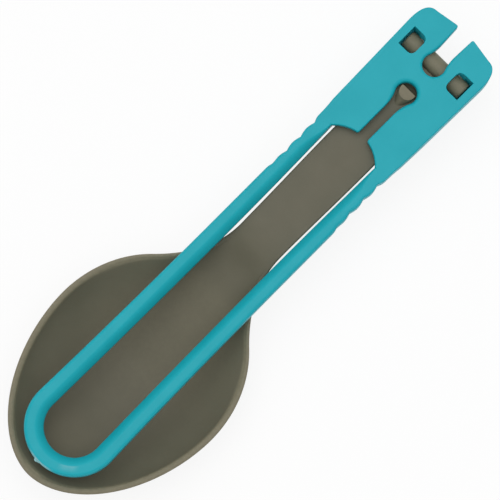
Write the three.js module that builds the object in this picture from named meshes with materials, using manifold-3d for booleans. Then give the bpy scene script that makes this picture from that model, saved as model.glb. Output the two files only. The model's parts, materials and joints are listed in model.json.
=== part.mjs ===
// A folding camping spoon made of two moulded plastic pieces.
// The spoon is one nylon moulding: a bowl, a flat stem and a cross barrel at the stem's end.
// The handle is one looped moulding: its head snaps over the barrel, and its loop folds over the bowl.
//
// Sizes are in millimetres. The pieces are made about the hinge axis: +X points away from the bowl,
// +Y across, and +Z out of the bowl's hollow. At the end the group is moved so that its origin
// lies under the middle of the folded spoon, level with the bowl's underside.

import * as THREE from 'three';
import { mergeVertices } from 'three/addons/utils/BufferGeometryUtils.js';
import { ConvexGeometry } from 'three/addons/geometries/ConvexGeometry.js';
import Module from 'manifold-3d';

// Hinge: the barrel of the spoon in the clips of the handle
const barrelRadius = 1.75;
const barrelEndGap = 0.25;
const barrelChamfer = 0.35;
const runningGap = 0.1;

// Bowl of the spoon
const spoonReach = 104.5;
const bowlWidth = 38;
const bowlNose = 27.7;
const bowlHeel = 21.5;
const bowlDepth = 7.6;
const bowlWall = 1.1;
const rimSag = 0.7;
const noseRise = 2;
const rimGap = 0.4;
const lipDrop = 0.3;

// Stem of the spoon
const stemThickness = 2;
const stemCrown = 0.2;
const stemEdge = 0.35;
const stemSideGap = 0.42;
const rootSideGap = 0.45;
const neckFromHinge = 45;
const bendLength = 9.5;
const bendStep = 1.9;
const rootDip = 0.8;

// Loop and arms of the handle
const loopInset = 2.9;
const loopRadius = 9.05;
const loopBand = 3.5;
const waistHalf = 8.45;
const waistBand = 3.3;
const waistFromHinge = 47;
const headBand = 2.95;
const armHeight = 4;
const armOuterRound = 0.75;
const armInnerBevel = 1.5;
const armInnerDrop = 1.3;
const edgeRound = 0.3;

// Finger grips on the arms
const gripPitch = 3.55;
const gripCount = 4;
const gripDepth = 0.35;
const gripRecess = 0.1;

// Head of the handle: a plate between two side rails, thicker in front of the barrel
const plateThickness = 1.5;
const frontThickness = 2.5;
const frontGap = 0.12;
const headHalf = 9.1;
const headReach = 7.65;
const headLength = 21.4;
const railThickness = 1.6;
const railDrop = 2.6;
const cornerLength = 4.4;
const cornerWidth = 2.6;
const endSlope = 0.75;
const domeRadius = 7.4;
const mouthRound = 0.5;

// Keyhole slot, its eye, the notch and its pocket
const slotWidth = 2.2;
const eyeRadius = 2;
const eyeFromHinge = 7.8;
const notchWaist = 3.2;
const notchMouth = 3.6;
const notchWaistAt = 2.9;
const pocketRadius = 2.15;
const pocketBack = 0.55;

// Windows over the barrel and the clips under it
const windowLength = 4.3;
const windowBack = 0.12;
const windowInner = 4.1;
const windowRound = 0.9;
const clipWidth = 1.75;
const clipWall = 1.2;
const clipMouth = 2.7;
const clipLip = 0.65;

// Catch and lock on the spoon, which snap into the eye and the notch, and the stop beside them
const catchGap = 0.4;
const catchForward = 0.45;
const catchSink = 0.15;
const catchFall = 0.25;
const catchDraft = 0.1;
const lockGap = 0.3;
const lockRise = 0.9;
const stopGap = 0.3;

// One overrun for every cut that passes right through, and the distance under which two points of
// an outline count as one
const overrun = 5;
const onePoint = 0.001;

// Levels, measured from the hinge axis
const plateUnder = barrelRadius + runningGap;
const handleTop = plateUnder + plateThickness;
const armUnder = handleTop - armHeight;
const rimLevel = armUnder - rimGap;
const rootTop = plateUnder - stopGap;
const frontUnder = handleTop - frontThickness;
const rootUnder = stopGap - frontUnder;
const bendTop = rimLevel + bendStep;

// Places along the hinge's own X
const tipX = -spoonReach;
const wideX = tipX + bowlNose;
const loopX = tipX + loopInset + loopRadius;
const headBackX = -headLength;
const eyeX = -eyeFromHinge;
const neckX = -neckFromHinge;
const domeX = headBackX - Math.sqrt(domeRadius ** 2 - (waistHalf - headBand) ** 2);

// Half widths across
const railInner = headHalf - railThickness;
const neckHalf = waistHalf - waistBand - stemSideGap;
const rootHalf = waistHalf - headBand - rootSideGap;

const wasm = await Module();
wasm.setup();

// Geometry to solid and back

function solidOf(geometry) {
  const bare = geometry.clone();
  bare.deleteAttribute('normal');
  bare.deleteAttribute('uv');
  const merged = mergeVertices(bare);
  return new wasm.Manifold(new wasm.Mesh({
    numProp: 3,
    vertProperties: new Float32Array(merged.attributes.position.array),
    triVerts: new Uint32Array(merged.index.array),
  }));
}

function geometryOf(solid) {
  const mesh = solid.getMesh();
  const geometry = new THREE.BufferGeometry();
  geometry.setAttribute('position', new THREE.BufferAttribute(mesh.vertProperties, 3));
  geometry.setIndex(new THREE.BufferAttribute(mesh.triVerts, 1));
  geometry.computeVertexNormals();
  return geometry;
}

// A closed skin over rings of equally many points, with a fan of triangles over each end
function loftOf(rings) {
  const count = rings[0].length;
  const points = rings.flat();
  const faces = [];
  for (let i = 0; i + 1 < rings.length; i += 1) {
    for (let j = 0; j < count; j += 1) {
      const a = i * count + j;
      const b = i * count + ((j + 1) % count);
      faces.push(a, b + count, b, a, a + count, b + count);
    }
  }
  const closeEnd = (ring, first, facing) => {
    const centre = ring.reduce((sum, point) => sum.add(point), new THREE.Vector3());
    points.push(centre.divideScalar(count));
    const hub = points.length - 1;
    for (let j = 0; j < count; j += 1) {
      const a = first + j;
      const b = first + ((j + 1) % count);
      faces.push(...(facing ? [hub, b, a] : [hub, a, b]));
    }
  };
  closeEnd(rings[0], 0, false);
  closeEnd(rings.at(-1), (rings.length - 1) * count, true);
  const geometry = new THREE.BufferGeometry().setFromPoints(points);
  geometry.setIndex(faces);
  return geometry;
}

// An outline as a chain of straight pieces, with no point in it twice
function chainOf(shape) {
  const points = shape.getPoints(12);
  return new THREE.Shape(
    points.filter((point, i) => point.distanceTo(points.at(i - 1)) > onePoint),
  );
}

// A plan outline raised from one level to another
function raised(shape, from, to, round = 0) {
  const geometry = new THREE.ExtrudeGeometry(chainOf(shape), {
    depth: to - from - 2 * round,
    bevelEnabled: round > 0,
    bevelSize: round,
    bevelOffset: -round,
    bevelThickness: round,
    bevelSegments: 2,
  });
  return solidOf(geometry.translate(0, 0, from + round));
}

// A side outline, drawn in X and Z, pushed out from one place in Y to another
function pushed(shape, from, to) {
  const geometry = new THREE.ExtrudeGeometry(chainOf(shape), {
    depth: to - from,
    bevelEnabled: false,
  });
  return solidOf(geometry.rotateX(Math.PI / 2).translate(0, to, 0));
}

// A round bar along Y, from its profile of radius and height
function turned(profile) {
  const points = profile.map(([radius, height]) => new THREE.Vector2(radius, height));
  return solidOf(new THREE.LatheGeometry(points, 40));
}

const ease = (share) => share * share * (3 - 2 * share);
const shareOf = (value, from, to) => Math.min(1, Math.max(0, (value - from) / (to - from)));
const mix = (a, b, share) => a + (b - a) * share;

// Outline of the handle's arms

// Half the outer width from the loop to the waist, and on to where the head starts
function armOuter(x) {
  const slack = 1 - shareOf(x, loopX, -waistFromHinge);
  return mix(waistHalf, loopRadius, slack * slack);
}

// Width of the band, which narrows a little from the loop to the waist and again at the head
function armBand(x) {
  const slack = 1 - shareOf(x, loopX, -waistFromHinge);
  const near = shareOf(x, -waistFromHinge, headBackX);
  return mix(mix(waistBand, loopBand, slack * slack), headBand, near * near);
}

const armInner = (x) => armOuter(x) - armBand(x);

// Depth of the finger grips: rounded waves with sharp valleys, shallow at the loop's end
const gripEndX = headBackX - gripRecess;
const gripStartX = gripEndX - gripCount * gripPitch;
const gripValleyX = gripEndX - gripPitch / 2;
function gripInset(x) {
  if (x < gripStartX || x > gripEndX) return 0;
  const wave = 1 - Math.abs(Math.sin((Math.PI * (x - gripValleyX)) / gripPitch));
  const start = ease(shareOf(x, gripStartX, gripStartX + gripPitch));
  const end = ease(shareOf(gripEndX, x, x + gripPitch / 2));
  return (gripRecess + gripDepth * wave) * start * end;
}

// Section of an arm: rounded outside, with a long bevel inside, alike above and below.
// Each point is its distance in from the outer edge and its level. head is 1 where the arm meets
// the head, and there the section squares up to the head's own small rounding.
function armSection(band, head) {
  const outer = mix(armOuterRound, edgeRound, head);
  const bevel = mix(armInnerBevel, edgeRound, head);
  const drop = mix(armInnerDrop, edgeRound, head);
  const arcShare = 1 - Math.SQRT1_2;
  const bulgeShare = 0.42;
  const faceShare = 0.1;
  const upper = [
    [0, outer],
    [outer * arcShare, outer * arcShare],
    [outer, 0],
    [band - bevel, 0],
    [band - bevel / 2, drop * bulgeShare],
    [band - bevel * faceShare, drop],
    [band, drop + bevel * faceShare * 2],
  ];
  const above = upper.map(([inset, depth]) => [inset, handleTop - depth]);
  const below = upper.map(([inset, depth]) => [inset, armUnder + depth]).reverse();
  return [...above, ...below];
}

// The arms and the loop as one band, from inside the head down one arm, round and back
function armsAndLoop() {
  const armEndX = headBackX + armHeight;
  const fadeX = headBackX - 2 * gripPitch;
  const along = [];
  const gripSteps = 8;
  const plainSteps = 10;
  const loopSteps = 24;
  along.push(armEndX, headBackX);
  for (let i = 0; i <= gripCount * gripSteps; i += 1) {
    along.push(gripEndX - (i * gripPitch) / gripSteps);
  }
  for (let i = 1; i < plainSteps; i += 1) {
    along.push(mix(gripStartX, loopX, i / plainSteps));
  }

  const ringAt = (outer, inner, x) => {
    const across = inner.clone().sub(outer);
    const band = across.length();
    across.divideScalar(band);
    const inset = gripInset(x);
    return armSection(band, ease(shareOf(x, fadeX, headBackX))).map(([depth, level]) => {
      const gripShare = Math.max(0, 1 - depth / (band / 2));
      const place = outer.clone().addScaledVector(across, depth + inset * gripShare);
      return new THREE.Vector3(place.x, place.y, level);
    });
  };
  const armRing = (x, side) => ringAt(
    new THREE.Vector2(x, side * armOuter(x)),
    new THREE.Vector2(x, side * armInner(x)),
    x,
  );
  const loopRing = (angle) => {
    const toward = new THREE.Vector2(Math.cos(angle), Math.sin(angle));
    const centre = new THREE.Vector2(loopX, 0);
    return ringAt(
      centre.clone().addScaledVector(toward, loopRadius),
      centre.clone().addScaledVector(toward, loopRadius - loopBand),
      loopX,
    );
  };

  const rings = along.map((x) => armRing(x, 1));
  for (let i = 0; i <= loopSteps; i += 1) {
    rings.push(loopRing(Math.PI / 2 + (Math.PI * i) / loopSteps));
  }
  rings.push(...along.reverse().map((x) => armRing(x, -1)));
  return solidOf(loftOf(rings));
}

// Plan outline of the head, with the notch in its front and the keyhole slot in its back
function headOutline() {
  const shape = new THREE.Shape();
  const mouthHalf = notchMouth / 2;
  const waistY = notchWaist / 2;
  const slotHalf = slotWidth / 2;
  const cornerX = headReach - endSlope;
  const sideX = headReach - endSlope - cornerLength;
  const shoulderX = headBackX + gripPitch;
  const shoulderY = mix(waistHalf, headHalf, 1 / 3);
  const easedX = headBackX + 2 * edgeRound;
  const innerY = armInner(headBackX);

  // Pocket: the notch's wall leaves the circle on its tangent and eases into the waist
  const leave = THREE.MathUtils.degToRad(70);
  const leaveX = -pocketBack + pocketRadius * Math.cos(leave);
  const leaveY = pocketRadius * Math.sin(leave);
  const bendX = leaveX + (leaveY - waistY) * Math.tan(leave);

  // Eye: the slot's wall flares into the circle on its tangent
  const join = THREE.MathUtils.degToRad(130);
  const joinX = eyeX + eyeRadius * Math.cos(join);
  const joinY = eyeRadius * Math.sin(join);
  const flareX = joinX + (joinY - slotHalf) * Math.tan(join);
  const slotEndX = flareX - slotWidth;

  // Mouth of the slot, where it opens into the dome
  const mouthX = domeX + Math.sqrt(domeRadius ** 2 - slotHalf ** 2);
  const mouthAngle = Math.asin((slotHalf + mouthRound) / domeRadius);
  const roundX = domeX + domeRadius * Math.cos(mouthAngle);
  const innerAngle = Math.asin(innerY / domeRadius);

  shape.moveTo(headReach, mouthHalf);
  shape.lineTo(cornerX, headHalf - cornerWidth);
  shape.quadraticCurveTo(cornerX, headHalf, sideX, headHalf);
  shape.lineTo(shoulderX, shoulderY);
  shape.quadraticCurveTo(mix(headBackX, shoulderX, 0.5), waistHalf, easedX, waistHalf);
  shape.lineTo(headBackX, waistHalf);
  shape.lineTo(headBackX, innerY);
  shape.absarc(domeX, 0, domeRadius, innerAngle, mouthAngle, true);
  shape.quadraticCurveTo(mouthX, slotHalf, roundX + 2 * mouthRound, slotHalf);
  shape.lineTo(slotEndX, slotHalf);
  shape.quadraticCurveTo(flareX, slotHalf, joinX, joinY);
  shape.absarc(eyeX, 0, eyeRadius, join, -join, true);
  shape.quadraticCurveTo(flareX, -slotHalf, slotEndX, -slotHalf);
  shape.lineTo(roundX + 2 * mouthRound, -slotHalf);
  shape.quadraticCurveTo(mouthX, -slotHalf, roundX, -slotHalf - mouthRound);
  shape.absarc(domeX, 0, domeRadius, -mouthAngle, -innerAngle, true);
  shape.lineTo(headBackX, -waistHalf);
  shape.lineTo(easedX, -waistHalf);
  shape.quadraticCurveTo(mix(headBackX, shoulderX, 0.5), -waistHalf, shoulderX, -shoulderY);
  shape.lineTo(sideX, -headHalf);
  shape.quadraticCurveTo(cornerX, -headHalf, cornerX, cornerWidth - headHalf);
  shape.lineTo(headReach, -mouthHalf);
  shape.lineTo(notchWaistAt, -waistY);
  shape.quadraticCurveTo(bendX, -waistY, leaveX, -leaveY);
  shape.absarc(-pocketBack, 0, pocketRadius, -leave, leave, true);
  shape.quadraticCurveTo(bendX, waistY, notchWaistAt, waistY);
  shape.closePath();
  return shape;
}

// Side outline that the head is cut to: deep at the hinge, easing up to the arms behind it
function headSide() {
  const shape = new THREE.Shape();
  const flatEndX = -barrelRadius - clipWall - overrun;
  shape.moveTo(headReach + overrun, handleTop + overrun);
  shape.lineTo(headBackX - overrun, handleTop + overrun);
  shape.lineTo(headBackX - overrun, armUnder);
  shape.lineTo(headBackX, armUnder);
  shape.bezierCurveTo(
    mix(headBackX, flatEndX, 0.5), armUnder,
    mix(headBackX, flatEndX, 0.5), -railDrop,
    flatEndX, -railDrop,
  );
  shape.lineTo(headReach + overrun, -railDrop);
  shape.closePath();
  return shape;
}

// The channel under the plate that the stem folds into, open below, from the arms to endX
function channelOutline(endX) {
  const shape = new THREE.Shape();
  const startHalf = armInner(headBackX);
  const fullX = headBackX + headLength / 3;
  const halfX = mix(headBackX, fullX, 0.5);
  shape.moveTo(headBackX, startHalf);
  shape.bezierCurveTo(halfX, startHalf, halfX, railInner, fullX, railInner);
  shape.lineTo(endX, railInner);
  shape.lineTo(endX, -railInner);
  shape.lineTo(fullX, -railInner);
  shape.bezierCurveTo(halfX, -railInner, halfX, -startHalf, headBackX, -startHalf);
  shape.closePath();
  return shape;
}

// A window over the barrel, square along the rail and rounded towards the middle. Its own middle
// lies a little behind the barrel's. side is 1 for the one at +Y and -1 for the other.
function windowOutline(side) {
  const shape = new THREE.Shape();
  const front = windowLength / 2 - windowBack;
  const back = front - windowLength;
  const outer = side * railInner;
  const inner = side * windowInner;
  const turn = side * (windowInner + windowRound);
  shape.moveTo(front, outer);
  shape.lineTo(back, outer);
  shape.lineTo(back, turn);
  shape.quadraticCurveTo(back, inner, back + windowRound, inner);
  shape.lineTo(front - windowRound, inner);
  shape.quadraticCurveTo(front, inner, front, turn);
  shape.closePath();
  return shape;
}

// Side outline of a clip, which hangs under the plate and hooks round the barrel from both sides
function clipOutline() {
  const bore = barrelRadius + runningGap;
  const outside = bore + clipWall;
  const mouth = clipMouth / 2;
  const lipTop = Math.sqrt(bore ** 2 - mouth ** 2);
  const under = lipTop + clipLip;
  const shape = new THREE.Shape();
  const lipAngle = Math.asin(lipTop / bore);
  shape.moveTo(outside, plateUnder + plateThickness / 2);
  shape.lineTo(-outside, plateUnder + plateThickness / 2);
  shape.lineTo(-outside, -lipTop);
  shape.lineTo(-outside + clipLip, -under);
  shape.lineTo(-mouth - clipLip, -under);
  shape.lineTo(-mouth, -lipTop);
  shape.absarc(0, 0, bore, Math.PI + lipAngle, -lipAngle, true);
  shape.lineTo(mouth + clipLip, -under);
  shape.lineTo(outside - clipLip, -under);
  shape.lineTo(outside, -lipTop);
  shape.closePath();
  return shape;
}

function handle() {
  let body = raised(headOutline(), -railDrop, handleTop, edgeRound)
    .intersect(pushed(headSide(), -headHalf - overrun, headHalf + overrun))
    .add(armsAndLoop())
    .subtract(raised(channelOutline(barrelRadius + frontGap), -railDrop - overrun, plateUnder))
    .subtract(raised(channelOutline(headReach + overrun), -railDrop - overrun, frontUnder));
  const clipFrom = railInner - clipWidth;
  const clipTo = railInner + railThickness / 2;
  for (const [from, to] of [[clipFrom, clipTo], [-clipTo, -clipFrom]]) {
    body = body.add(pushed(clipOutline(), from, to));
  }
  for (const side of [1, -1]) {
    body = body.subtract(raised(windowOutline(side), 0, handleTop + overrun));
  }
  return geometryOf(body);
}

// Plan outline of the spoon

const shoulderShare = 0.76;
const noseExponent = 1.87;

// Half width of the egg shape behind the widest place, and how fast it narrows
const eggHalf = (along) => (bowlWidth / 2) * Math.sqrt(1 - (along / bowlHeel) ** 2);
const eggSlope = (along) => -((bowlWidth / 2) ** 2 * along) / (bowlHeel ** 2 * eggHalf(along));

// Half width of the spoon at any place from the widest to the hinge
function spoonHalf(x) {
  const shoulderX = wideX + shoulderShare * bowlHeel;
  if (x <= shoulderX) return eggHalf(x - wideX);
  if (x <= neckX) {
    const run = neckX - shoulderX;
    const share = (x - shoulderX) / run;
    const from = eggHalf(shoulderShare * bowlHeel);
    const slope = eggSlope(shoulderShare * bowlHeel) * run * share * (1 - share) ** 2;
    return mix(from, neckHalf, ease(share)) + slope;
  }
  return mix(neckHalf, rootHalf, ease(shareOf(x, neckX, headBackX)));
}

// Level of the rim, and of the stem's top behind it. Past the catch the top dips, so that the
// barrel stands clear of it.
const bendX = -waistFromHinge - bendLength / 2;
const dipX = eyeX + eyeRadius;
function topLevel(x) {
  if (x <= bendX) {
    const away = x < wideX ? (wideX - x) / bowlNose : (x - wideX) / (bendX - wideX);
    return mix(rimLevel - rimSag, x < wideX ? rimLevel + noseRise : rimLevel, away * away);
  }
  if (x <= bendX + bendLength) return mix(rimLevel, bendTop, ease((x - bendX) / bendLength));
  if (x <= eyeX) return mix(bendTop, rootTop, ease(shareOf(x, bendX + bendLength, eyeX)));
  return rootTop - rootDip * ease(shareOf(x, eyeX, dipX));
}

// Depth of the hollow along the middle of the spoon
function hollow(x) {
  if (x <= wideX) return bowlDepth * (1 - ((wideX - x) / bowlNose) ** 2.4);
  const cupEndX = bendX + bendLength / 2;
  return bowlDepth * (1 - shareOf(x, wideX, cupEndX) ** 2) ** 1.5;
}

// One closed ring of the spoon: its underside from +Y to -Y, then its upper side back.
// stem is 0 in the bowl and 1 on the stem, where the section squares up.
function spoonRing(outer, inner, stem) {
  const steps = 16;
  const cup = (share) => (1 - Math.abs(share) ** mix(2.3, 7, stem)) ** mix(0.85, 0.5, stem);
  const ring = [];
  for (let i = 0; i <= steps; i += 1) {
    const share = Math.cos((Math.PI * i) / steps);
    const level = outer.top - outer.depth * cup(share);
    ring.push(new THREE.Vector3(outer.x, outer.half * share, level));
  }
  for (let i = steps; i >= 0; i -= 1) {
    const share = Math.cos((Math.PI * i) / steps);
    const level = inner.top - inner.depth * cup(share) + inner.crown * (1 - share * share);
    ring.push(new THREE.Vector3(inner.x, inner.half * share, level));
  }
  return ring;
}

function bowlAndStem() {
  const rings = [];
  const noseSteps = 18;
  const heelSteps = 30;
  const stemSteps = 8;
  const dipSteps = 6;
  const tipAngle = THREE.MathUtils.degToRad(2);

  // Nose: both outlines are the same curve, the inner one a wall's thickness smaller
  for (let i = 0; i <= noseSteps; i += 1) {
    const angle = mix(tipAngle, Math.PI / 2, i / noseSteps);
    const alongShare = Math.cos(angle) ** (2 / noseExponent);
    const acrossShare = Math.sin(angle) ** (2 / noseExponent);
    const outerX = wideX - bowlNose * alongShare;
    const depth = hollow(outerX);
    const edge = (inset, drop, wall) => ({
      x: wideX - (bowlNose - inset) * alongShare,
      half: (bowlWidth / 2 - inset) * acrossShare,
      top: topLevel(outerX) - drop,
      depth: depth + wall,
      crown: 0,
    });
    const thick = (bowlWall - lipDrop) * ease(shareOf(i, 0, 2));
    rings.push(spoonRing(edge(0, lipDrop, thick), edge(bowlWall, 0, 0), 0));
  }

  // Heel and stem: rings square to X, from the widest place to the hinge
  const ringAt = (x) => {
    const stem = ease(shareOf(x, wideX + shoulderShare * bowlHeel, neckX));
    const half = spoonHalf(x);
    const top = topLevel(x);
    const depth = hollow(x);
    const root = ease(shareOf(x, bendX + bendLength, eyeX));
    const thickness = mix(mix(bowlWall, stemThickness, stem), top - rootUnder, root);
    const crown = stemCrown * stem * (1 - root);
    const outer = { x, half, top: top - lipDrop, depth: depth + thickness - lipDrop };
    const inner = { x, half: half - mix(bowlWall, stemEdge, stem), top, depth, crown };
    return spoonRing(outer, inner, stem);
  };
  const heelEndX = bendX + bendLength;
  for (let i = 1; i <= heelSteps; i += 1) rings.push(ringAt(mix(wideX, heelEndX, i / heelSteps)));
  for (let i = 1; i <= stemSteps; i += 1) rings.push(ringAt(mix(heelEndX, eyeX, i / stemSteps)));
  for (let i = 1; i <= dipSteps; i += 1) rings.push(ringAt(mix(eyeX, dipX, i / dipSteps)));
  rings.push(ringAt(0));
  return solidOf(loftOf(rings));
}

// The cross barrel that turns in the clips
function barrel() {
  const half = railInner - barrelEndGap;
  return turned([
    [0, -half],
    [barrelRadius - barrelChamfer, -half],
    [barrelRadius, barrelChamfer - half],
    [barrelRadius, half - barrelChamfer],
    [barrelRadius - barrelChamfer, half],
    [0, half],
  ]);
}

// The catch: a half-round peg that stands in the eye when the spoon is folded. Its flat front faces
// the hinge. Its top lies a little under the plate's, and falls off gently towards the bowl.
function foldedCatch() {
  const reach = eyeRadius - catchGap;
  const top = reach - catchDraft;
  const centreX = eyeX + catchForward;
  const sunk = topLevel(eyeX) - stemThickness / 2;
  const crest = handleTop - catchSink;
  const turns = 24;
  const frontAngle = THREE.MathUtils.degToRad(78);
  const front = top * Math.cos(frontAngle);
  const corners = [];
  for (let i = 0; i <= turns; i += 1) {
    const angle = mix(frontAngle, 2 * Math.PI - frontAngle, i / turns);
    const [x, y] = [Math.cos(angle), Math.sin(angle)];
    const roof = crest - catchFall * shareOf(x * top, front, -top);
    corners.push(new THREE.Vector3(centreX + x * reach, y * reach, sunk));
    corners.push(new THREE.Vector3(centreX + x * top, y * top, roof));
  }
  return solidOf(new ConvexGeometry(corners));
}

// The lock: a short rib under the root that rises into the notch when the spoon is open
function openLock() {
  const nearX = -notchWaistAt;
  const farX = -headReach + plateThickness / 2;
  const level = rootUnder + stemThickness / 4;
  const foot = -plateUnder - lockRise;
  const half = notchWaist / 2 - lockGap;
  const shape = new THREE.Shape();
  shape.moveTo(nearX, level);
  shape.lineTo(farX - lockRise, level);
  shape.lineTo(farX, mix(level, foot, 0.7));
  shape.quadraticCurveTo(farX, foot, farX + lockRise, foot);
  shape.lineTo(nearX - lockRise, foot);
  shape.quadraticCurveTo(nearX, foot, nearX, mix(level, foot, 0.7));
  shape.closePath();
  return pushed(shape, -half, half);
}

function spoon() {
  return geometryOf(bowlAndStem().add(barrel()).add(foldedCatch()).add(openLock()));
}

// Finished pieces

const handlePlastic = new THREE.MeshStandardMaterial({
  name: 'handle_plastic', color: 0x2fa3b2, roughness: 0.42, metalness: 0,
});
const spoonNylon = new THREE.MeshStandardMaterial({
  name: 'spoon_nylon', color: 0x65614f, roughness: 0.55, metalness: 0,
});

function piece(name, geometry, material) {
  const mesh = new THREE.Mesh(geometry, material);
  mesh.name = name;
  return mesh;
}

const foldingSpoon = new THREE.Group();
foldingSpoon.add(piece('handle', handle(), handlePlastic));
foldingSpoon.add(piece('spoon', spoon(), spoonNylon));

const extent = new THREE.Box3().setFromObject(foldingSpoon);
foldingSpoon.position.set(-(extent.min.x + extent.max.x) / 2, 0, -extent.min.z);

export default foldingSpoon;
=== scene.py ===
# A folding camping spoon: a grey nylon spoon whose cross barrel snaps into a teal looped handle.
# Both pieces are drawn in millimetres about the hinge axis, and placed in the frame in metres.

import json
import math

import bmesh
import bpy
from mathutils import Matrix, Vector


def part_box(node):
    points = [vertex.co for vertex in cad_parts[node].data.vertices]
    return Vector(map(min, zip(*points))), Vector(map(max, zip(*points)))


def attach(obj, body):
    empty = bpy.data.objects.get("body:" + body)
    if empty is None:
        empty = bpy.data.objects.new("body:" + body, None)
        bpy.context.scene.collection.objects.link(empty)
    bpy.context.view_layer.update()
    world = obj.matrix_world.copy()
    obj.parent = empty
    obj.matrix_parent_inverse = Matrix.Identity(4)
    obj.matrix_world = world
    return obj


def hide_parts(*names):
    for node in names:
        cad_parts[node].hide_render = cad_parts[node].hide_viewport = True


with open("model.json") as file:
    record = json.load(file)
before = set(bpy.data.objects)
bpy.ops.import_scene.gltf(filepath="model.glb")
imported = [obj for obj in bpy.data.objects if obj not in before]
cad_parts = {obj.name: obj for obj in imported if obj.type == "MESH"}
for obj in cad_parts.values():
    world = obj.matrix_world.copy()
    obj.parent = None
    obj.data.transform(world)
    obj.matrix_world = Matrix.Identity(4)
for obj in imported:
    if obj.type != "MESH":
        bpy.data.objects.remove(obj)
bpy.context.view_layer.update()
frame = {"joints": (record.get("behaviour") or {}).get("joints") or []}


# The spoon
# One injection moulding in grey nylon: an egg-shaped bowl, a flat stem with a bend, and a cross
# barrel that turns in the handle's clips. A peg on top of the stem and a rib under it snap into
# the handle's slots, and hold the spoon folded or open.

# The hinge, and the levels of the handle that the spoon fits under
MM = 0.001
hinge = Vector(frame["joints"][0]["pos_m"])
handle_top = (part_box("handle")[1].z - hinge.z) / MM
arm_height = 4.0
arm_under = handle_top - arm_height
plate_thickness = 1.5
plate_under = handle_top - plate_thickness

# The bowl. A curve's fill squares it up, and its fall lets it run out more gently.
spoon_reach = 104.48
bowl_width = 38.0
bowl_nose = 27.68
bowl_heel = 21.5
bowl_depth = 7.59
bowl_wall = 1.1
rim_sag = 0.7
rim_gap = 0.4
lip_drop = 0.3
lip_fall = 0.25
nose_rise = 2.0
nose_power = 1.87
nose_fill, nose_fall = 2.4, 0.85
heel_fill, heel_fall = 1.4, 1.35
bowl_fill, bowl_fall = 2.3, 0.85
wing_flare = 0.3
shoulder_share = 0.76

# The stem, from its bend to the root beside the hinge
stem_thickness = 2.0
stem_crown = 0.2
stem_edge = 0.8
stem_fill, stem_fall = 7, 0.5
neck_half = 4.73
root_half = 5.05
neck_x = -45.0
bend_length = 9.5
bend_step = 1.9
bend_middle = -47.0
root_x = -21.4
root_sink = 0.35
sink_in, sink_out = (-19.5, -16), (-9.2, -11)
root_dip = 1.4
eye_x = -7.8
dip_x = -5.8
stop_gap = 0.3
front_thickness = 2.5

# The cross barrel
barrel_radius = 1.75
barrel_half = 7.1
barrel_round = 0.35

# Places and levels that follow
tip_x = -spoon_reach
wide_x = tip_x + bowl_nose
bend_x = bend_middle - bend_length / 2
rim_level = arm_under - rim_gap
root_top = plate_under - stop_gap
front_under = handle_top - front_thickness
root_under = stop_gap - front_under


def mix(a, b, share):
    """The value at a share of the way from a to b."""
    return a + (b - a) * share


def ease(share):
    """A share from 0 to 1 that starts and ends gently."""
    return share * share * (3 - 2 * share)


def share_of(value, start, end):
    """How far a value has come on its way from start to end, from 0 to 1.

    A fade is a pair of such places: where an effect is nothing, and where it is full.
    """
    return min(1.0, max(0.0, (value - start) / (end - start)))


def placed(x, y, z):
    """A point of the drawing, in millimetres about the hinge, as a place in the frame."""
    return Vector((hinge.x + x * MM, hinge.y + y * MM, hinge.z + z * MM))


def skin(name, rings):
    """A closed skin over rings of equally many points, with a face over each end."""
    count = len(rings[0])
    corners = [point for ring in rings for point in ring]
    faces = [tuple(range(count))[::-1], tuple(range(len(corners) - count, len(corners)))]
    for start in range(0, len(corners) - count, count):
        for step in range(count):
            after = (step + 1) % count
            faces.append((start + step, start + after, start + count + after, start + count + step))
    mesh = bpy.data.meshes.new(name)
    mesh.from_pydata(corners, [], faces)
    shape = bmesh.new()
    shape.from_mesh(mesh)
    bmesh.ops.remove_doubles(shape, verts=shape.verts, dist=0.001 * MM)
    bmesh.ops.dissolve_degenerate(shape, dist=0.001 * MM, edges=shape.edges)
    bmesh.ops.recalc_face_normals(shape, faces=shape.faces)
    shape.to_mesh(mesh)
    shape.free()
    piece = bpy.data.objects.new(name, mesh)
    bpy.context.scene.collection.objects.link(piece)
    return piece


def combined(piece, tool, operation):
    """Joins a tool to a piece, cuts it away or keeps what they share, and deletes the tool."""
    change = piece.modifiers.new("combine", "BOOLEAN")
    change.object = tool
    change.operation = operation
    change.solver = "EXACT"
    settled = bpy.context.evaluated_depsgraph_get()
    mesh = bpy.data.meshes.new_from_object(piece.evaluated_get(settled))
    piece.modifiers.remove(change)
    piece.data = mesh
    bpy.data.objects.remove(tool)
    return piece


def smoothed(piece, crease_degrees=38):
    """Shades a piece smooth except at creases, and keeps its flats flat beside rounded edges."""
    mesh = piece.data
    mesh.shade_smooth()
    mesh.set_sharp_from_angle(angle=math.radians(crease_degrees))
    flats = piece.modifiers.new("flats", "WEIGHTED_NORMAL")
    flats.keep_sharp = True
    flats.weight = 60


def egg_half(along):
    """Half the bowl's width, at a distance from its widest place."""
    return bowl_width / 2 * math.sqrt(1 - (along / bowl_heel) ** 2)


def spoon_half(x):
    """Half the spoon's width behind its widest place."""
    shoulder_x = wide_x + shoulder_share * bowl_heel
    if x <= shoulder_x:
        return egg_half(x - wide_x)
    if x <= neck_x:
        run = neck_x - shoulder_x
        share = (x - shoulder_x) / run
        start = egg_half(shoulder_share * bowl_heel)
        slope = -((bowl_width / 2) ** 2) * shoulder_share / (bowl_heel * start)
        return mix(start, neck_half, ease(share)) + slope * run * share * (1 - share) ** 2
    return mix(neck_half, root_half, ease(share_of(x, neck_x, root_x)))


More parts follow.
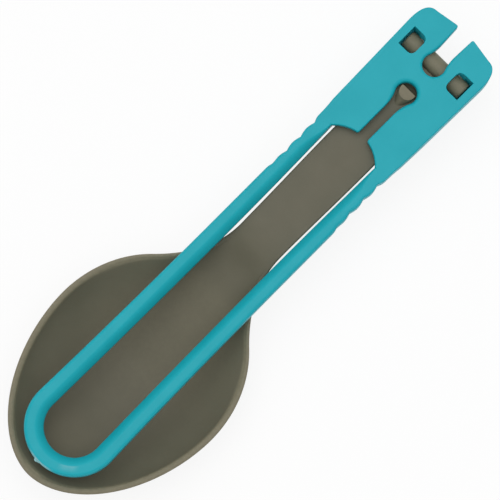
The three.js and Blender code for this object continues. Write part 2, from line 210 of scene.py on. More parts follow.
def top_level(x):
    """Level of the rim, and of the stem's top past the bend.

    The top sinks a little where the handle's slot shows it, and dips past the catch.
    """
    if x <= bend_x:
        away = (wide_x - x) / bowl_nose if x < wide_x else (x - wide_x) / (bend_x - wide_x)
        end = rim_level + nose_rise if x < wide_x else rim_level
        return mix(rim_level - rim_sag, end, away * away)
    if x <= bend_x + bend_length:
        return rim_level + bend_step * ease((x - bend_x) / bend_length)
    climbed = mix(rim_level + bend_step, root_top, ease(share_of(x, bend_x + bend_length, eye_x)))
    sunk = root_sink * ease(share_of(x, *sink_in)) * ease(share_of(x, *sink_out))
    return climbed - sunk - root_dip * ease(share_of(x, eye_x, dip_x))


def hollow(x):
    """Depth of the bowl along its middle."""
    if x <= wide_x:
        return bowl_depth * max(0.0, 1 - ((wide_x - x) / bowl_nose) ** nose_fill) ** nose_fall
    return bowl_depth * (1 - share_of(x, wide_x, bend_x + bend_length / 2) ** heel_fill) ** heel_fall


def heel_step(x):
    """How much deeper the bowl is just past the bend, where it falls away steeply."""
    drop = 1.0
    bend_fade, bowl_fade = (bend_x + 5.5, bend_x - 1), (wide_x, bend_x - 3)
    return drop * ease(share_of(x, *bend_fade)) * ease(share_of(x, *bowl_fade))


def wing(x):
    """How much flatter the bowl's heel is out beside the stem."""
    bowl_fade, bend_fade = (wide_x, bend_x - 11), (bend_x + 3, bend_x - 4)
    return ease(share_of(x, *bowl_fade)) * ease(share_of(x, *bend_fade))


def spoon_ring(outer_x, inner_x, half, wall, top, depth, thickness, crown, stem):
    """Section of the spoon: its underside, the lip, the hollow or the stem's top, and the lip."""
    side_steps = 36
    lip_steps = 10
    lip_bunching = 1.5
    crest_share = 0.4
    fill = mix(bowl_fill, stem_fill, stem)
    fall = mix(bowl_fall, stem_fall, stem)
    shares = [math.cos(math.pi * step / side_steps) for step in range(side_steps + 1)]

    def cup(share, flare=1.0):
        """The share of the full depth, at a share of the half-width."""
        return max(0.0, 1 - abs(share) ** fill) ** (fall * flare)

    fallen = lip_fall * (1 - stem)
    lip_level = top - lip_drop
    deeper = heel_step(inner_x)
    under_depth = depth + thickness - lip_drop + deeper
    upper_half = half - wall
    ring = [placed(outer_x, half * s, lip_level - under_depth * cup(s)) for s in shares]
    lip = []
    for step in range(1, lip_steps):
        t = (step / lip_steps) ** lip_bunching
        if t < crest_share:
            z = top - lip_drop * (1 - math.sqrt(1 - (1 - t / crest_share) ** 2))
        else:
            z = top - fallen * ((t - crest_share) / (1 - crest_share)) ** 2
        lip.append((mix(outer_x, inner_x, t), mix(half, upper_half, t), z))
    ring += [placed(x, -y, z) for x, y, z in lip]
    for s in shares:
        deep = max(0.0, depth - fallen) + deeper * (1 - s * s)
        z = top - fallen - deep * cup(s, 1 + wing_flare * wing(inner_x)) + crown * (1 - s * s)
        ring.append(placed(inner_x, -upper_half * s, z))
    ring += [placed(x, y, z) for x, y, z in lip[::-1]]
    return ring


def bowl_and_stem():
    """The bowl and the stem in one run of sections, from the nose to the hinge."""
    nose_steps, heel_steps, stem_steps, dip_steps, thin_lip_steps = 40, 70, 24, 10, 4
    heel_end = bend_x + bend_length
    rings = []
    for step in range(nose_steps + 1):
        angle = math.pi / 2 * step / nose_steps
        along = math.cos(angle) ** (2 / nose_power)
        across = math.sin(angle) ** (2 / nose_power)
        x = wide_x - bowl_nose * along
        inner_x = wide_x - (bowl_nose - bowl_wall) * along
        half = bowl_width / 2 * across
        rings.append(spoon_ring(
            x, inner_x, half, bowl_wall * across, top_level(x), hollow(x),
            mix(lip_drop, bowl_wall, ease(share_of(step, 0, thin_lip_steps))), 0, 0))
    places = [mix(wide_x, heel_end, (step + 1) / heel_steps) for step in range(heel_steps)]
    places += [mix(heel_end, eye_x, (step + 1) / stem_steps) for step in range(stem_steps)]
    places += [mix(eye_x, dip_x, (step + 1) / dip_steps) for step in range(dip_steps)] + [0]
    for x in places:
        stem = ease(share_of(x, wide_x + shoulder_share * bowl_heel, neck_x))
        root = ease(share_of(x, heel_end, eye_x))
        thickness = mix(mix(bowl_wall, stem_thickness, stem), top_level(x) - root_under, root)
        rings.append(spoon_ring(
            x, x, spoon_half(x), mix(bowl_wall, stem_edge, stem), top_level(x), hollow(x),
            thickness, stem_crown * stem * (1 - root), stem))
    return skin("spoon_moulding", rings)


def circle_ring(y, radius, steps=64):
    """A circle about the hinge axis, at one place in Y."""
    turns = [2 * math.pi * step / steps for step in range(steps)]
    return [placed(radius * math.cos(turn), y, radius * math.sin(turn)) for turn in turns]


def barrel():
    """The cross barrel, with its ends rounded over."""
    round_steps = 5
    ends = []
    for step in range(round_steps + 1):
        turn = math.pi / 2 * step / round_steps
        y = barrel_half - barrel_round * (1 - math.sin(turn))
        ends.append((y, barrel_radius - barrel_round * (1 - math.cos(turn))))
    ends = ends[::-1]
    rings = [circle_ring(-y, radius) for y, radius in ends]
    rings += [circle_ring(y, radius) for y, radius in ends[::-1]]
    return skin("barrel", rings)


def folded_catch():
    """A half-round peg in the eye, with a flat front and a top that falls off towards the bowl."""
    reach = 1.6
    soft, soft_share = 0.12, 0.3
    top_fall = 0.25
    back_slope = 1.25
    forward, below_top, foot_depth = 0.45, 0.15, 1
    steps = 36
    centre_x = eye_x + forward
    level = top_level(eye_x)
    crest = handle_top - below_top
    flat = math.radians(78)
    turns = [mix(flat, 2 * math.pi - flat, step / steps) for step in range(steps + 1)]

    def ring(size, drop):
        points = []
        for turn in turns:
            x, y = size * math.cos(turn), size * math.sin(turn)
            roof = crest - top_fall * share_of(x, reach * math.cos(flat), -reach)
            points.append(placed(centre_x + x, y, roof - drop))
        return points

    foot = []
    for turn in turns:
        behind = share_of(math.cos(turn), 0, -1)
        x, y = reach * (math.cos(turn) - back_slope * behind), reach * math.sin(turn)
        foot.append(placed(centre_x + x, y, level - foot_depth))
    eased = soft_share * soft
    return skin("folded_catch", [foot, ring(reach, soft), ring(reach - eased, eased),
                                 ring(reach - soft, 0)])


def open_lock():
    """A short rib under the root, which rises into the notch when the spoon is open."""
    near_x, far_x = -2.9, -6.9
    half = 1.3
    corner = 0.3
    rise, lead, sunk = 0.9, 0.9, 0.5
    shoulder_share, steps = 0.7, 4
    level = root_under + sunk
    foot = -plate_under - rise
    shoulder = mix(level, foot, shoulder_share)
    section = [(near_x, level), (far_x - lead, level), (far_x, shoulder)]
    for step in range(steps + 1):
        turn = math.pi / 2 * step / steps
        section.append((far_x + lead * (1 - math.cos(turn)), mix(shoulder, foot, math.sin(turn))))
    section += [(near_x - corner, foot), (near_x, foot + corner)]
    return skin("open_lock", [[placed(x, y, z) for x, z in section] for y in (-half, half)])


def store_wear_and_painted_light(piece, amount):
    """Stores, for each corner of a mesh, how much paler its colour is made there, for real wear and for
    painted light.
    """
    wear_and_painted_light = piece.data.attributes.new("wear_and_painted_light", "FLOAT", "POINT")
    for corner, value in zip(piece.data.vertices, wear_and_painted_light.data):
        place = (corner.co - hinge) / MM
        value.value = amount(place.x, place.y, place.z)


def spoon_painted_light(x, y, z):
    """Painted light: a painted highlight on the bowl's lip, and painted light on the bowl's floor, the
    top of the catch and the barrel.
    """
    floor_painted_light, snap_painted_light = 0.36, 0.8
    floor_x, floor_length, floor_width = -67, 24, 18
    floor_fade, heel_fade, lip_fade = (1, 0.35), (-53, -59), (bend_x, bend_x - 6)
    catch_height, skin_depth = 0.6, 0.01
    # A painted highlight on the lip, and painted light on the bowl's floor.
    if x < bend_x:
        away = math.hypot((x - floor_x) / floor_length, y / floor_width)
        floor = floor_painted_light * ease(share_of(away, *floor_fade)) * ease(share_of(x, *heel_fade))
        lip = share_of(z, top_level(x) - lip_drop - lip_fall, top_level(x) - lip_drop)
        return max(floor, lip * ease(share_of(x, *lip_fade)))
    # Painted light on the catch's top and on the barrel.
    on_catch = z > handle_top - catch_height
    on_barrel = math.hypot(x, z) < barrel_radius + skin_depth
    return snap_painted_light if on_catch or on_barrel else 0


spoon = bowl_and_stem()
for part in (barrel(), folded_catch(), open_lock()):
    combined(spoon, part, "UNION")
# The spoon's paler places are painted light: a highlight on the lip, and light on the floor, the catch's
# top and the barrel.
store_wear_and_painted_light(spoon, spoon_painted_light)
smoothed(spoon)


def linear(red, green, blue):
    """A screen colour, 0 to 255, as the linear values that a shader takes."""
    shares = [value / 255 for value in (red, green, blue)]
    return [s / 12.92 if s <= 0.04045 else ((s + 0.055) / 1.055) ** 2.4 for s in shares] + [1]


def worked(tree, operation, *values):
    """A Math node over sockets and plain numbers."""
    node = tree.nodes.new("ShaderNodeMath")
    node.operation = operation
    for socket, value in zip(node.inputs, values):
        if isinstance(value, bpy.types.NodeSocket):
            tree.links.new(value, socket)
        else:
            socket.default_value = value
    return node.outputs[0]


def moulded_skin():
    """Shader group: a moulded surface's soft mottle, its spark-eroded grain, and its paler places, which
    are real wear and painted light.
    """
    group = bpy.data.node_groups.new("moulded_skin", "ShaderNodeTree")
    for title in ("Colour A", "Colour B", "Wear and painted light colour"):
        group.interface.new_socket(title, in_out="INPUT", socket_type="NodeSocketColor")
    for title in ("Mottle size", "Patch size", "Grain size", "Patchiness", "Roughness",
                  "Roughness spread"):
        group.interface.new_socket(title, in_out="INPUT", socket_type="NodeSocketFloat")
    group.interface.new_socket("Colour", in_out="OUTPUT", socket_type="NodeSocketColor")
    group.interface.new_socket("Roughness", in_out="OUTPUT", socket_type="NodeSocketFloat")
    group.interface.new_socket("Grain", in_out="OUTPUT", socket_type="NodeSocketFloat")
    nodes, links = group.nodes, group.links
    taken = nodes.new("NodeGroupInput").outputs
    given = nodes.new("NodeGroupOutput").inputs
    place = nodes.new("ShaderNodeTexCoord")

    def noise(size, detail, roughness):
        field = nodes.new("ShaderNodeTexNoise")
        field.inputs["Detail"].default_value = detail
        field.inputs["Roughness"].default_value = roughness
        links.new(place.outputs["Object"], field.inputs["Vector"])
        links.new(worked(group, "DIVIDE", 1, taken[size]), field.inputs["Scale"])
        return field.outputs["Fac"]

    def stretched(value, low, high):
        """The value, with low taken to 0 and high to 1."""
        stretch = nodes.new("ShaderNodeMapRange")
        stretch.inputs["From Min"].default_value = low
        stretch.inputs["From Max"].default_value = high
        links.new(value, stretch.inputs["Value"])
        return stretch.outputs["Result"]

    def blended(share, first, second):
        blend = nodes.new("ShaderNodeMix")
        blend.data_type = "RGBA"
        links.new(share, blend.inputs["Factor"])
        links.new(first, blend.inputs["A"])
        links.new(second, blend.inputs["B"])
        return blend.outputs["Result"]

    mottle = stretched(noise("Mottle size", 3, 0.55), 0.3, 0.7)
    fresh = blended(mottle, taken["Colour A"], taken["Colour B"])
    gaps = stretched(noise("Patch size", 4, 0.65), 0.6, 0.4)
    kept = worked(group, "SUBTRACT", 1, worked(group, "MULTIPLY", gaps, taken["Patchiness"]))
    # The stored mask makes the colour paler: real wear on the handle, and painted light and highlights
    # on both pieces.
    wear_and_painted_light = nodes.new("ShaderNodeAttribute")
    wear_and_painted_light.attribute_name = "wear_and_painted_light"
    wear_and_light = worked(group, "MULTIPLY", wear_and_painted_light.outputs["Fac"], kept)
    links.new(blended(wear_and_light, fresh, taken["Wear and painted light colour"]), given["Colour"])
    grain = noise("Grain size", 2, 0.6)
    centred = worked(group, "SUBTRACT", grain, 0.5)
    rougher = worked(group, "MULTIPLY_ADD", centred, taken["Roughness spread"], taken["Roughness"])
    links.new(rougher, given["Roughness"])
    links.new(grain, given["Grain"])
    return group


plastic_skin = moulded_skin()


def moulded_plastic(name, grain_depth, values):
    """A satin plastic, from this moulding's own values for the skin, by their names."""
    material = bpy.data.materials.new(name)
    material.use_nodes = True
    nodes, links = material.node_tree.nodes, material.node_tree.links
    shader = nodes["Principled BSDF"]
    surface = nodes.new("ShaderNodeGroup")
    surface.node_tree = plastic_skin
    for title, value in values.items():
        surface.inputs[title].default_value = value
    links.new(surface.outputs["Colour"], shader.inputs["Base Color"])
    links.new(surface.outputs["Roughness"], shader.inputs["Roughness"])
    bump = nodes.new("ShaderNodeBump")
    bump.inputs["Distance"].default_value = grain_depth
    bump.inputs["Strength"].default_value = 0.5
    links.new(surface.outputs["Grain"], bump.inputs["Height"])
    links.new(bump.outputs["Normal"], shader.inputs["Normal"])
    shader.inputs["Specular IOR Level"].default_value = 0.28
    return material


# The paler colour is painted light and highlight, laid on by the stored mask.
grey_nylon = moulded_plastic("grey_nylon", 0.00002, {
    "Colour A": linear(100, 97, 81), "Colour B": linear(105, 101, 85),
    "Wear and painted light colour": linear(128, 122, 101), "Mottle size": 0.006, "Patch size": 0.0008,
    "Grain size": 0.00035, "Patchiness": 0.25, "Roughness": 0.52, "Roughness spread": 0.25})
spoon.data.materials.clear()
spoon.data.materials.append(grey_nylon)
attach(spoon, "spoon")
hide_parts("spoon")


# The handle
# One injection moulding in teal plastic. Two arms and a loop make the grip, and their section is
# rounded outside and sloped inside. The head is a tray with side rails, and under its two windows
# hang the clips that the spoon's barrel is pressed into.

# The loop, the arms and their section
loop_radius = 9.05
loop_band = 3.5
waist_half = 8.45
waist_band = 3.3
waist_x = -47.0
head_band = 2.95
loop_x = -92.55
outer_round = 0.75
inner_bevel = 1.5
inner_drop = 1.3
slope_stretch = 1.12
slope_power = 1.7
edge_round = 0.3

# The head: its plan, and the rails under its sides
head_back = root_x
head_half = 9.1
head_reach = 7.65
rail_thickness = 1.6
rail_drop = 2.6
rail_lead = 5.0
rail_inner = head_half - rail_thickness
front_lip = 1.63
front_lean = 0.1
corner_length = 4.4
corner_width = 2.6
end_slope = 0.75
dome_radius = 7.4
dome_x = head_back - math.sqrt(dome_radius**2 - (waist_half - head_band) ** 2)

# The finger grips
grip_pitch = 3.55
grip_count = 4
grip_depth = 0.35
grip_recess = 0.1
grip_end = head_back - grip_recess
grip_start = grip_end - grip_count * grip_pitch

# The clips and the windows over them. Pieces run into the rails by the weld, and cutters run past
# the part by the overrun.
clip_play = 0.1
clip_wall = 1.2
window_front = 2.03
window_side = rail_inner - 0.1
window_above = 1
weld = 0.8
overrun = 5.0


def arm_outer(x):
    """Half the width over both arms. They draw in from the loop to the waist."""
    slack = 1 - share_of(x, loop_x, waist_x)
    return mix(waist_half, loop_radius, slack * slack)


def arm_inner(x):
    """Half the gap between the arms."""
    slack = 1 - share_of(x, loop_x, waist_x)
    near = share_of(x, waist_x, head_back)
    return arm_outer(x) - mix(mix(waist_band, loop_band, slack * slack), head_band, near * near)


def grip_inset(x):
    """Depth of the finger grips, which are rounded waves with sharp valleys."""
    if x < grip_start or x > grip_end:
        return 0
    valley = grip_end - grip_pitch / 2
    wave = 1 - abs(math.sin(math.pi * (x - valley) / grip_pitch))
    start = ease(share_of(x, grip_start, grip_start + grip_pitch))
    end = ease(share_of(grip_end, x, x + grip_pitch / 2))
    return (grip_recess + grip_depth * wave) * start * end


def arm_section(band, head):
    """Distances in from the outer edge, with their levels. head squares the section up."""
    round_steps, slope_steps = 6, 9
    slope_share = 0.94
    corner_in_share, corner_down_share, side_share = 0.03, 0.07, 0.2
    outer = mix(outer_round, edge_round, head)
    bevel = mix(inner_bevel, edge_round, head)
    drop = mix(inner_drop, edge_round, head)
    upper = []
    for step in range(round_steps + 1):
        turn = math.pi / 2 * step / round_steps
        upper.append((outer * (1 - math.cos(turn)), outer * (1 - math.sin(turn))))
    for step in range(slope_steps + 1):
        t = slope_share * step / slope_steps
        upper.append((band - bevel * slope_stretch * (1 - t), drop * slope_stretch * t**slope_power))
    upper.append((band - bevel * corner_in_share, drop + bevel * corner_down_share))
    upper.append((band, drop + bevel * side_share))
    above = [(inset, handle_top - depth) for inset, depth in upper]
    below = [(inset, arm_under + depth) for inset, depth in upper[::-1]]
    return above + below


def arms_and_loop():
    """The arms and the loop in one run of sections, from inside the head round to inside it again."""
    grip_steps, arm_steps, loop_steps = 14, 24, 72
    into_head = 0.6
    fade_x = head_back - 2 * grip_pitch
    along = [head_back + into_head, head_back]
    along += [grip_end - step * grip_pitch / grip_steps for step in range(grip_steps * grip_count + 1)]
    along += [mix(grip_start, loop_x, step / arm_steps) for step in range(1, arm_steps)]

    def ring(outer, inner, x):
        across = inner - outer
        band = across.length
        across.normalize()
        points = []
        for depth, level in arm_section(band, ease(share_of(x, fade_x, head_back))):
            grip = grip_inset(x) * max(0.0, 1 - depth / (band / 2))
            place = outer + across * (depth + grip)
            points.append(placed(place.x, place.y, level))
        return points

    def arm_ring(x, side):
        return ring(Vector((x, side * arm_outer(x))), Vector((x, side * arm_inner(x))), x)

    def loop_ring(turn):
        toward = Vector((math.cos(turn), math.sin(turn)))
        centre = Vector((loop_x, 0))
        return ring(centre + toward * loop_radius, centre + toward * (loop_radius - loop_band), loop_x)

    rings = [arm_ring(x, 1) for x in along]
    rings += [loop_ring(math.pi / 2 + math.pi * step / loop_steps) for step in range(loop_steps + 1)]
    rings += [arm_ring(x, -1) for x in along[::-1]]
    return skin("handle_moulding", rings)


def arc(centre_x, radius, start, end, steps):
    """Points of a round stretch centred on the middle line, from one angle to another."""
    turns = [mix(start, end, step / steps) for step in range(steps + 1)]
    return [(centre_x + radius * math.cos(turn), radius * math.sin(turn)) for turn in turns]


def curve(start, control, end, steps=10):
    """Points of a quadratic curve, without its first one."""
    points = []
    for step in range(1, steps + 1):
        t = step / steps
        weights = ((1 - t) ** 2, 2 * t * (1 - t), t * t)
        points.append(tuple(sum(w * p[axis] for w, p in zip(weights, (start, control, end)))
                            for axis in (0, 1)))
    return points


def head_side_points():
    """One side of the head's outline, at +Y, from the notch's pocket round to the slot's eye."""
    notch_waist, notch_mouth, waist_at = 1.6, 1.8, 2.9
    pocket_radius, pocket_back = 2.15, 0.55
    slot_half, mouth_round, eye_radius = 1.1, 0.35, 2.0
    tip_corner, tip_lean = 0.5, 0.079
    corner_x = head_reach - end_slope
    side_x = corner_x - corner_length
    shoulder_x = head_back + grip_pitch
    shoulder_y = mix(waist_half, head_half, 1 / 3)
    leave = math.radians(70)
    left = (-pocket_back + pocket_radius * math.cos(leave), pocket_radius * math.sin(leave))
    bend = (left[0] + (left[1] - notch_waist) * math.tan(leave), notch_waist)
    points = arc(-pocket_back, pocket_radius, math.pi, leave, 20)
    points += curve(left, bend, (waist_at, notch_waist))
    points.append((head_reach - tip_corner, notch_mouth))
    points += curve(points[-1], (head_reach, notch_mouth),
                    (head_reach - tip_lean, notch_mouth + tip_corner), 6)
    points.append((corner_x, head_half - corner_width))
    points += curve((corner_x, head_half - corner_width), (corner_x, head_half), (side_x, head_half), 14)
    points.append((shoulder_x, shoulder_y))
    points += curve((shoulder_x, shoulder_y), (mix(head_back, shoulder_x, 0.5), waist_half),
                    (head_back, waist_half))
    inner_turn = math.asin(arm_inner(head_back) / dome_radius)
    mouth_turn = math.asin((slot_half + mouth_round) / dome_radius)
    points += arc(dome_x, dome_radius, inner_turn, mouth_turn, 10)
    mouth_x = dome_x + math.sqrt(dome_radius**2 - slot_half**2)
    round_x = points[-1][0]
    points += curve(points[-1], (mouth_x, slot_half), (round_x + 2 * mouth_round, slot_half), 8)
    join = math.radians(117)
    joined = (eye_x + eye_radius * math.cos(join), eye_radius * math.sin(join))
    flare_x = joined[0] + (joined[1] - slot_half) * math.tan(join)
    points.append((flare_x - 2 * slot_half, slot_half))
    points += curve(points[-1], (flare_x, slot_half), joined, 16)
    points += arc(eye_x, eye_radius, join, 0, 20)[1:]
    return points


def soft_edge(x, y):
    """How far the head's upper edge is rounded.

    It is rounded more around the eye and the notch's pocket, and less at the notch's mouth.
    """
    eye_more, eye_fade, slot_fade = 0.6, (5, 2.2), (eye_x - 6, eye_x)
    notch_more, notch_fade, pocket_fade, front_fade = 0.3, (3, 2), (-4, -2), (6, 2)
    tips_less, tips_fade, sides_fade = 0.12, (6, 7), (3.4, 2.4)
    near_eye = ease(share_of(math.hypot(x - eye_x, y), *eye_fade)) * ease(share_of(x, *slot_fade))
    in_notch = (ease(share_of(abs(y), *notch_fade)) * ease(share_of(x, *pocket_fade))
                * ease(share_of(x, *front_fade)))
    at_tips = ease(share_of(x, *tips_fade)) * ease(share_of(abs(y), *sides_fade))
    return edge_round + eye_more * near_eye + notch_more * in_notch - tips_less * at_tips


def inset(outline, distances):
    """The outline with each point moved in by its distance, with the material on its left.

    Where the head's back edge meets an arm, the corners only move along that edge.
    """
    least_share = 0.4
    moved = []
    count = len(outline)
    for step, distance in enumerate(distances):
        before, here, after = (Vector(outline[(step + turn) % count]) for turn in (-1, 0, 1))
        if here.x == head_back:
            outward = 1 if abs(here.y) > waist_half - head_band / 2 else -1
            moved.append((here.x, here.y - math.copysign(distance * outward, here.y)))
            continue
        first = (here - before).normalized()
        second = (after - here).normalized()
        normal = Vector((-first.y - second.y, first.x + second.x))
        scale = distance / max(least_share, normal.length / 2)
        place = here + normal.normalized() * scale
        moved.append((place.x, place.y))
    return moved


def pushed(name, outline, start, end):
    """A side outline, in X and Z, pushed across from one place in Y to another."""
    return skin(name, [[placed(x, y, z) for x, z in outline] for y in (start, end)])


def swept(start, end, low, high, steps):
    """Points of a soft S-curve from one level to another, level at both ends."""
    middle = mix(start, end, 0.5)
    points = []
    for step in range(steps + 1):
        t = step / steps
        weights = ((1 - t) ** 3, 3 * t * (1 - t) ** 2, 3 * t * t * (1 - t), t**3)
        along = sum(w * p for w, p in zip(weights, (start, middle, middle, end)))
        points.append((along, mix(low, high, weights[2] + weights[3])))
    return points


def head_plate():
    """The head, rounded along its edges, with an underside that comes down to the rails."""
    side = head_side_points()
    outline = side + [(x, -y) for x, y in side[::-1][1:-1]]
    round_steps = 6
    turns = [math.pi / 2 * step / round_steps for step in range(round_steps + 1)]
    under = [(1 - math.sin(turn), -rail_drop, 1 - math.cos(turn)) for turn in turns]
    upper = [(1 - math.cos(turn), handle_top, math.sin(turn) - 1) for turn in turns]
    rounds = [soft_edge(x, y) for x, y in outline]
    rings = []
    for moved, level, lift in under + upper:
        sizes = [edge_round] * len(rounds) if level < 0 else rounds
        flat = inset(outline, [moved * size for size in sizes])
        rings.append([placed(x, y, level + lift * size) for (x, y), size in zip(flat, sizes)])
    plate = skin("head_plate", rings)
    rails_full_x = -barrel_radius - clip_wall - rail_lead
    profile = [(head_reach + overrun, handle_top + overrun), (head_back - overrun, handle_top + overrun),
               (head_back - overrun, arm_under)]
    profile += swept(head_back, rails_full_x, arm_under, -rail_drop, 24)
    profile.append((head_reach + overrun, -rail_drop))
    return combined(plate, pushed("side_profile", profile, -head_half - overrun, head_half + overrun),
                    "INTERSECT")


def channel():
    """The cutter for the hollow that the stem folds into, open below. Its front wall leans."""
    full_width_x = head_back - head_back / 3
    side = swept(head_back, full_width_x, arm_inner(head_back), rail_inner, 16)
    rings = []
    for x, z in ((front_lip, -rail_drop - overrun), (front_lip, front_under),
                 (front_lip + front_lean, plate_under)):
        half = side + [(x, rail_inner)]
        rings.append([placed(x, y, z) for x, y in half + [(x, -y) for x, y in half[::-1]]])
    return skin("channel", rings)


def front_underside():
    """The cutter for the hollow in front of the hinge, under the thicker front of the plate."""
    outline = [(0, -rail_drop - overrun), (head_reach + overrun, -rail_drop - overrun),
               (head_reach + overrun, front_under), (0, front_under)]
    return pushed("front_underside", outline, -rail_inner, rail_inner)


def clip(side):
    """A clip under the plate, which hooks round the barrel from both sides."""
    bore = barrel_radius + clip_play
    outside = bore + clip_wall
    mouth = 1.35
    lip = 0.65
    sunk = 0.75
    lip_top = math.sqrt(bore**2 - mouth**2)
    under = lip_top + lip
    start = math.pi + math.asin(lip_top / bore)
    outline = [(outside, plate_under + sunk), (-outside, plate_under + sunk), (-outside, -lip_top),
               (lip - outside, -under), (-mouth - lip, -under)]
    outline += arc(0, bore, start, math.pi - start, 40)
    outline += [(mouth + lip, -under), (outside - lip, -under), (outside, -lip_top)]
    ends = sorted((side * (root_half + clip_play), side * (rail_inner + weld)))
    return pushed("clip", outline, *ends)


def window(side):
    """The cutter for a window over the barrel, square along the rail and rounded towards the middle.

    Its front wall leans back under the plate's upper edge, to end close to the barrel.
    """
    back, inner, corner = -2.24, 4.1, 1.25
    soft, soft_share = 0.12, 0.3
    lean = (window_front - front_lip) / front_thickness
    eased = soft * soft_share
    rings = []
    for distance, z in ((0, 0), (0, handle_top - soft), (-eased, handle_top - eased),
                        (-soft, handle_top), (-soft, handle_top + window_above)):
        wall = window_front - lean * (handle_top - min(z, handle_top))
        outline = [(wall, window_side), (back, window_side), (back, inner + corner)]
        outline += curve((back, inner + corner), (back, inner), (back + corner, inner), 8)
        outline.append((wall - corner, inner))
        outline += curve((wall - corner, inner), (wall, inner), (wall, inner + corner), 8)
        outline = [(x, side * y) for x, y in outline]
        if side < 0:
            outline = outline[::-1]
        rings.append([placed(x, y, z) for x, y in inset(outline, [distance] * len(outline))])
    return skin("window", rings)


def clip_relief(side):
    """The cutter that opens the window's front wall over a clip."""
    foot, width = 1.86, 1.65
    outline = [(0, 0), (foot, 0), (window_front, handle_top),
               (window_front, handle_top + window_above), (0, handle_top + window_above)]
    return pushed("clip_relief", outline, *sorted((side * (window_side - width), side * window_side)))


def rail_rib(side):
    """A rib on the rail, beside and under the end of the barrel, which keeps it in the middle."""
    face, ledge_face = 7.16, 6.8
    top, ledge, foot = -0.3, -1.87, -2.4
    half_length = 2.6
    section = [(rail_inner + weld, foot), (rail_inner + weld, top), (face, top), (face, ledge),
               (ledge_face, ledge), (ledge_face, foot)]
    return skin("rail_rib", [[placed(x, side * y, z) for y, z in section]
                             for x in (-half_length, half_length)])


def gate_nub():
    """The torn stub of the mould's gate, on the outer edge of the loop."""
    long, half_width, half_height, rooted, below_top = 0.45, 0.6, 0.45, 0.12, 1.0
    ragged_share, torn_share, least_share = 0.18, 0.25, 0.01
    lobes, twist, tears = 3, 5, 7
    steps, corners = 8, 14
    turn = math.pi - math.radians(4)
    toward = Vector((math.cos(turn), math.sin(turn)))
    across = Vector((-toward.y, toward.x))
    centre = Vector((loop_x, 0)) + toward * (loop_radius - rooted)
    rings = []
    for step in range(steps + 1):
        t = step / steps
        size = math.sqrt(max(least_share, 1 - t * t))
        wide = half_width * size * (1 + torn_share * math.sin(tears * t))
        ring = []
        for corner in range(corners):
            angle = 2 * math.pi * corner / corners
            ragged = 1 + ragged_share * math.sin(lobes * angle + twist * t)
            place = centre + toward * (long * t) + across * (wide * ragged * math.cos(angle))
            level = handle_top - below_top + half_height * size * ragged * math.sin(angle)
            ring.append(placed(place.x, place.y, level))
        rings.append(ring)
    return skin("gate_nub", rings)


def handle_wear_and_highlight(x, y, z):
    """The gate's stub is pale, and the loop is scuffed beside it; a stretch of its crest carries a
    painted highlight.
    """
    edge_worn, edge_width, edge_fade = 0.7, 0.3, (3.4, 1)
    crest_painted_highlight, crest_width, crest_start, crest_end = 0.25, 0.05, (20, 32), (54, 42)
    skin_depth = 0.02
    if x > loop_x or z < handle_top - arm_height / 2:
        return 0
    inward = loop_radius - math.hypot(x - loop_x, y)
    if inward < -skin_depth:
        return 1
    if inward < edge_width:
        return edge_worn * ease(share_of(math.hypot(x - loop_x + loop_radius, y), *edge_fade))
    # A painted highlight streak along the loop's crest.
    if abs(inward - loop_band + inner_bevel * slope_stretch) < crest_width:
        from_tip = math.degrees(math.atan2(-y, loop_x - x))
        return crest_painted_highlight * ease(share_of(from_tip, *crest_start)) * ease(share_of(from_tip, *crest_end))
    return 0


handle = arms_and_loop()
combined(handle, gate_nub(), "UNION")
combined(handle, head_plate(), "UNION")
combined(handle, channel(), "DIFFERENCE")
combined(handle, front_underside(), "DIFFERENCE")
for side in (1, -1):
    combined(handle, clip(side), "UNION")
    combined(handle, rail_rib(side), "UNION")
for side in (1, -1):
    combined(handle, window(side), "DIFFERENCE")
    combined(handle, clip_relief(side), "DIFFERENCE")
# The handle's paler places are the gate stub and the scuffs beside it, and a painted highlight along the
# loop's crest.
store_wear_and_painted_light(handle, handle_wear_and_highlight)
smoothed(handle)

# The paler colour is the gate stub's and the scuffs' own, and a painted highlight on the loop's crest.
teal_plastic = moulded_plastic("teal_plastic", 0.000015, {
    "Colour A": linear(10, 166, 180), "Colour B": linear(22, 171, 185),
    "Wear and painted light colour": linear(170, 215, 218), "Mottle size": 0.006, "Patch size": 0.0008,
    "Grain size": 0.0003, "Patchiness": 0.25, "Roughness": 0.48, "Roughness spread": 0.2})
handle.data.materials.clear()
handle.data.materials.append(teal_plastic)
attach(handle, "handle")
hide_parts("handle")


# The stage
# A white table top under the spoon, in a pale room that is brightest straight overhead, with a weak
# soft lamp to one side. The camera sees plain white past the table's edge.


def seen_directly(tree):
    """1 for what the camera sees straight, or mirrored in or through a piece, and 0 for light."""
    rays = tree.nodes.new("ShaderNodeLightPath").outputs
    mirrored = worked(tree, "MAXIMUM", rays["Is Camera Ray"], rays["Is Glossy Ray"])
    return worked(tree, "MAXIMUM", mirrored, rays["Is Transmission Ray"])


table_half = 1.5
table_mesh = bpy.data.meshes.new("table_top")
table_corners = [(-table_half, -table_half, 0), (table_half, -table_half, 0),
                 (table_half, table_half, 0), (-table_half, table_half, 0)]
table_mesh.from_pydata(table_corners, [], [(0, 1, 2, 3)])
table_top = bpy.data.objects.new("table_top", table_mesh)
bpy.context.scene.collection.objects.link(table_top)

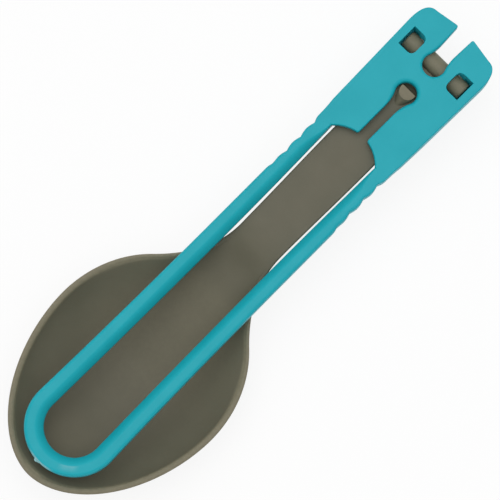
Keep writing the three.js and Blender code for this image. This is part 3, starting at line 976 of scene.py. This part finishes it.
white_top = bpy.data.materials.new("white_top")
white_top.use_nodes = True
tree = white_top.node_tree
glow_share = 0.86
paper = tree.nodes["Principled BSDF"]
paper.inputs["Base Color"].default_value = (0.97, 0.97, 0.97, 1)
paper.inputs["Roughness"].default_value = 0.9
paper.inputs["Specular IOR Level"].default_value = 0.2
glow = tree.nodes.new("ShaderNodeEmission")
glow.inputs["Strength"].default_value = 1
both = tree.nodes.new("ShaderNodeMixShader")
tree.links.new(worked(tree, "MULTIPLY", seen_directly(tree), glow_share), both.inputs["Fac"])
tree.links.new(paper.outputs["BSDF"], both.inputs[1])
tree.links.new(glow.outputs["Emission"], both.inputs[2])
tree.links.new(both.outputs["Shader"], tree.nodes["Material Output"].inputs["Surface"])
table_mesh.materials.append(white_top)

room = bpy.data.worlds.new("pale_room")
room.use_nodes = True
tree = room.node_tree
brightest = (0.06, 0.06, 0.996)
gathering = 7
overhead_strength, wall_strength = 2.5, 0.3
walls = tree.nodes["Background"]
walls.inputs["Color"].default_value = (1, 1, 1, 1)
heading = tree.nodes.new("ShaderNodeTexCoord")
overhead = tree.nodes.new("ShaderNodeVectorMath")
overhead.operation = "DOT_PRODUCT"
overhead.inputs[1].default_value = brightest
tree.links.new(heading.outputs["Generated"], overhead.inputs[0])
upper = worked(tree, "MAXIMUM", overhead.outputs["Value"], 0)
gathered = worked(tree, "POWER", upper, gathering)
strength = worked(tree, "MULTIPLY_ADD", gathered, overhead_strength, wall_strength)
tree.links.new(strength, walls.inputs["Strength"])
backdrop = tree.nodes.new("ShaderNodeBackground")
backdrop.inputs["Color"].default_value = (1, 1, 1, 1)
backdrop.inputs["Strength"].default_value = 1
pick = tree.nodes.new("ShaderNodeMixShader")
tree.links.new(seen_directly(tree), pick.inputs["Fac"])
tree.links.new(walls.outputs["Background"], pick.inputs[1])
tree.links.new(backdrop.outputs["Background"], pick.inputs[2])
tree.links.new(pick.outputs["Shader"], tree.nodes["World Output"].inputs["Surface"])
bpy.context.scene.world = room

lamp = bpy.data.lights.new("key_lamp", "AREA")
lamp.shape = "DISK"
lamp.size = 0.5
lamp.energy = 0.5
lamp_place = Vector((0.1, 0.3, 0.6))
lamp_holder = bpy.data.objects.new("key_lamp", lamp)
lamp_holder.location = lamp_place
lamp_holder.rotation_euler = (-lamp_place).to_track_quat("-Z", "Y").to_euler()
bpy.context.scene.collection.objects.link(lamp_holder)


# The camera
# It looks almost straight down from over the bowl, with the head at the upper right of the picture.

photo_pixels = 500
pixels_per_mm = 5.5622
distance = 0.6496
lean_to_bowl = math.radians(4.14)
lean_to_side = math.radians(3.5)
turn = math.radians(45.116)
aim = placed(-47.889, -0.021, handle_top)

lens = bpy.data.cameras.new("camera")
lens.sensor_width = 36
lens.lens = pixels_per_mm * distance / MM / photo_pixels * lens.sensor_width
lens.clip_start = 0.01
lens.clip_end = 10
camera = bpy.data.objects.new("camera", lens)
facing = (Matrix.Rotation(lean_to_side, 3, "X") @ Matrix.Rotation(-lean_to_bowl, 3, "Y")
          @ Matrix.Rotation(-turn, 3, "Z"))
camera.rotation_euler = facing.to_euler()
camera.location = aim + facing @ Vector((0, 0, distance))
bpy.context.scene.collection.objects.link(camera)
bpy.context.scene.camera = camera
bpy.context.scene.view_settings.view_transform = "Standard"
